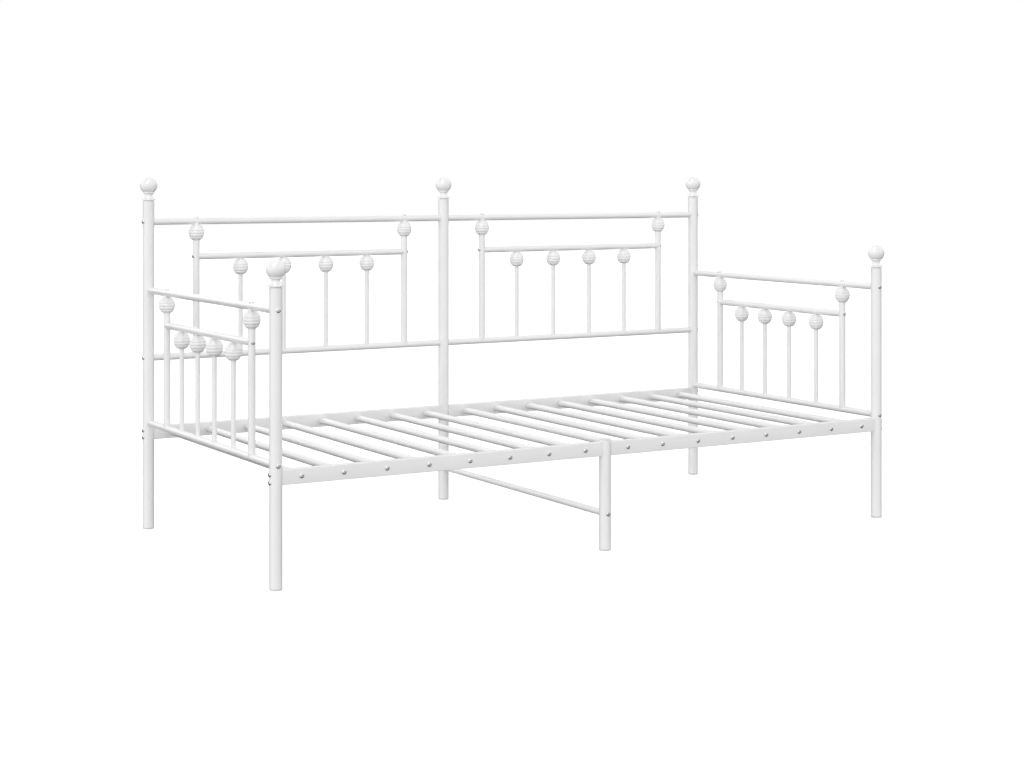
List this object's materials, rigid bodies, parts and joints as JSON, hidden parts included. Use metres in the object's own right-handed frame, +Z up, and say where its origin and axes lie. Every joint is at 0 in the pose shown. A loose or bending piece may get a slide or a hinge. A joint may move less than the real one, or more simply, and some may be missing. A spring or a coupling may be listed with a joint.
{
  "type": "daybed",
  "caption": "Daybed of round white steel tube with a tall back and side panels, ball finials and spindles with ribbed balls, side rails carrying cross slats, and a middle leg with a low brace.",
  "frame": {"origin": "on the floor, under the centre of the bed", "axes": "+X along the length of the bed, +Y towards its tall back, +Z up"},
  "size_m": [1.9772, 0.9732, 1.0121],
  "materials": {
    "powder_coated_steel": "satin white powder coat",
    "moulded_ball": "satin white moulded",
    "foot_plastic": "matt white moulded",
    "zinc_fastener": "zinc plated"
  },
  "bodies": {
    "root": {"back_left_post": "powder_coated_steel", "back_left_post_finial": "moulded_ball", "back_left_post_foot": "foot_plastic", "back_middle_post": "powder_coated_steel", "back_middle_post_finial": "moulded_ball", "back_middle_post_foot": "foot_plastic", "back_right_post": "powder_coated_steel", "back_right_post_finial": "moulded_ball", "back_right_post_foot": "foot_plastic", "front_left_post": "powder_coated_steel", "front_left_post_finial": "moulded_ball", "front_left_post_foot": "foot_plastic", "front_right_post": "powder_coated_steel", "front_right_post_finial": "moulded_ball", "front_right_post_foot": "foot_plastic", "middle_leg": "powder_coated_steel", "middle_leg_cap": "foot_plastic", "middle_leg_foot": "foot_plastic", "back_left_top_rail": "powder_coated_steel", "back_left_cross_rail": "powder_coated_steel", "back_left_spindle_frame": "powder_coated_steel", "back_left_ball_1": "moulded_ball", "back_left_ball_2": "moulded_ball", "back_right_top_rail": "powder_coated_steel", "back_right_cross_rail": "powder_coated_steel", "back_right_spindle_frame": "powder_coated_steel", "back_right_ball_1": "moulded_ball", "back_right_ball_2": "moulded_ball", "side_left_top_rail": "powder_coated_steel", "side_left_cross_rail": "powder_coated_steel", "side_left_spindle_frame": "powder_coated_steel", "side_left_ball_1": "moulded_ball", "side_left_ball_2": "moulded_ball", "side_right_top_rail": "powder_coated_steel", "side_right_cross_rail": "powder_coated_steel", "side_right_spindle_frame": "powder_coated_steel", "side_right_ball_1": "moulded_ball", "side_right_ball_2": "moulded_ball", "front_left_rail": "powder_coated_steel", "front_right_rail": "powder_coated_steel", "back_left_rail": "powder_coated_steel", "back_right_rail": "powder_coated_steel", "slat_01": "powder_coated_steel", "slat_02": "powder_coated_steel", "slat_03": "powder_coated_steel", "slat_04": "powder_coated_steel", "slat_05": "powder_coated_steel", "slat_06": "powder_coated_steel", "slat_07": "powder_coated_steel", "slat_08": "powder_coated_steel", "slat_09": "powder_coated_steel", "slat_10": "powder_coated_steel", "slat_11": "powder_coated_steel", "slat_12": "powder_coated_steel", "slat_13": "powder_coated_steel", "slat_14": "powder_coated_steel", "slat_15": "powder_coated_steel", "slat_16": "powder_coated_steel", "brace_tube": "powder_coated_steel"}
  },
  "joints": []
}
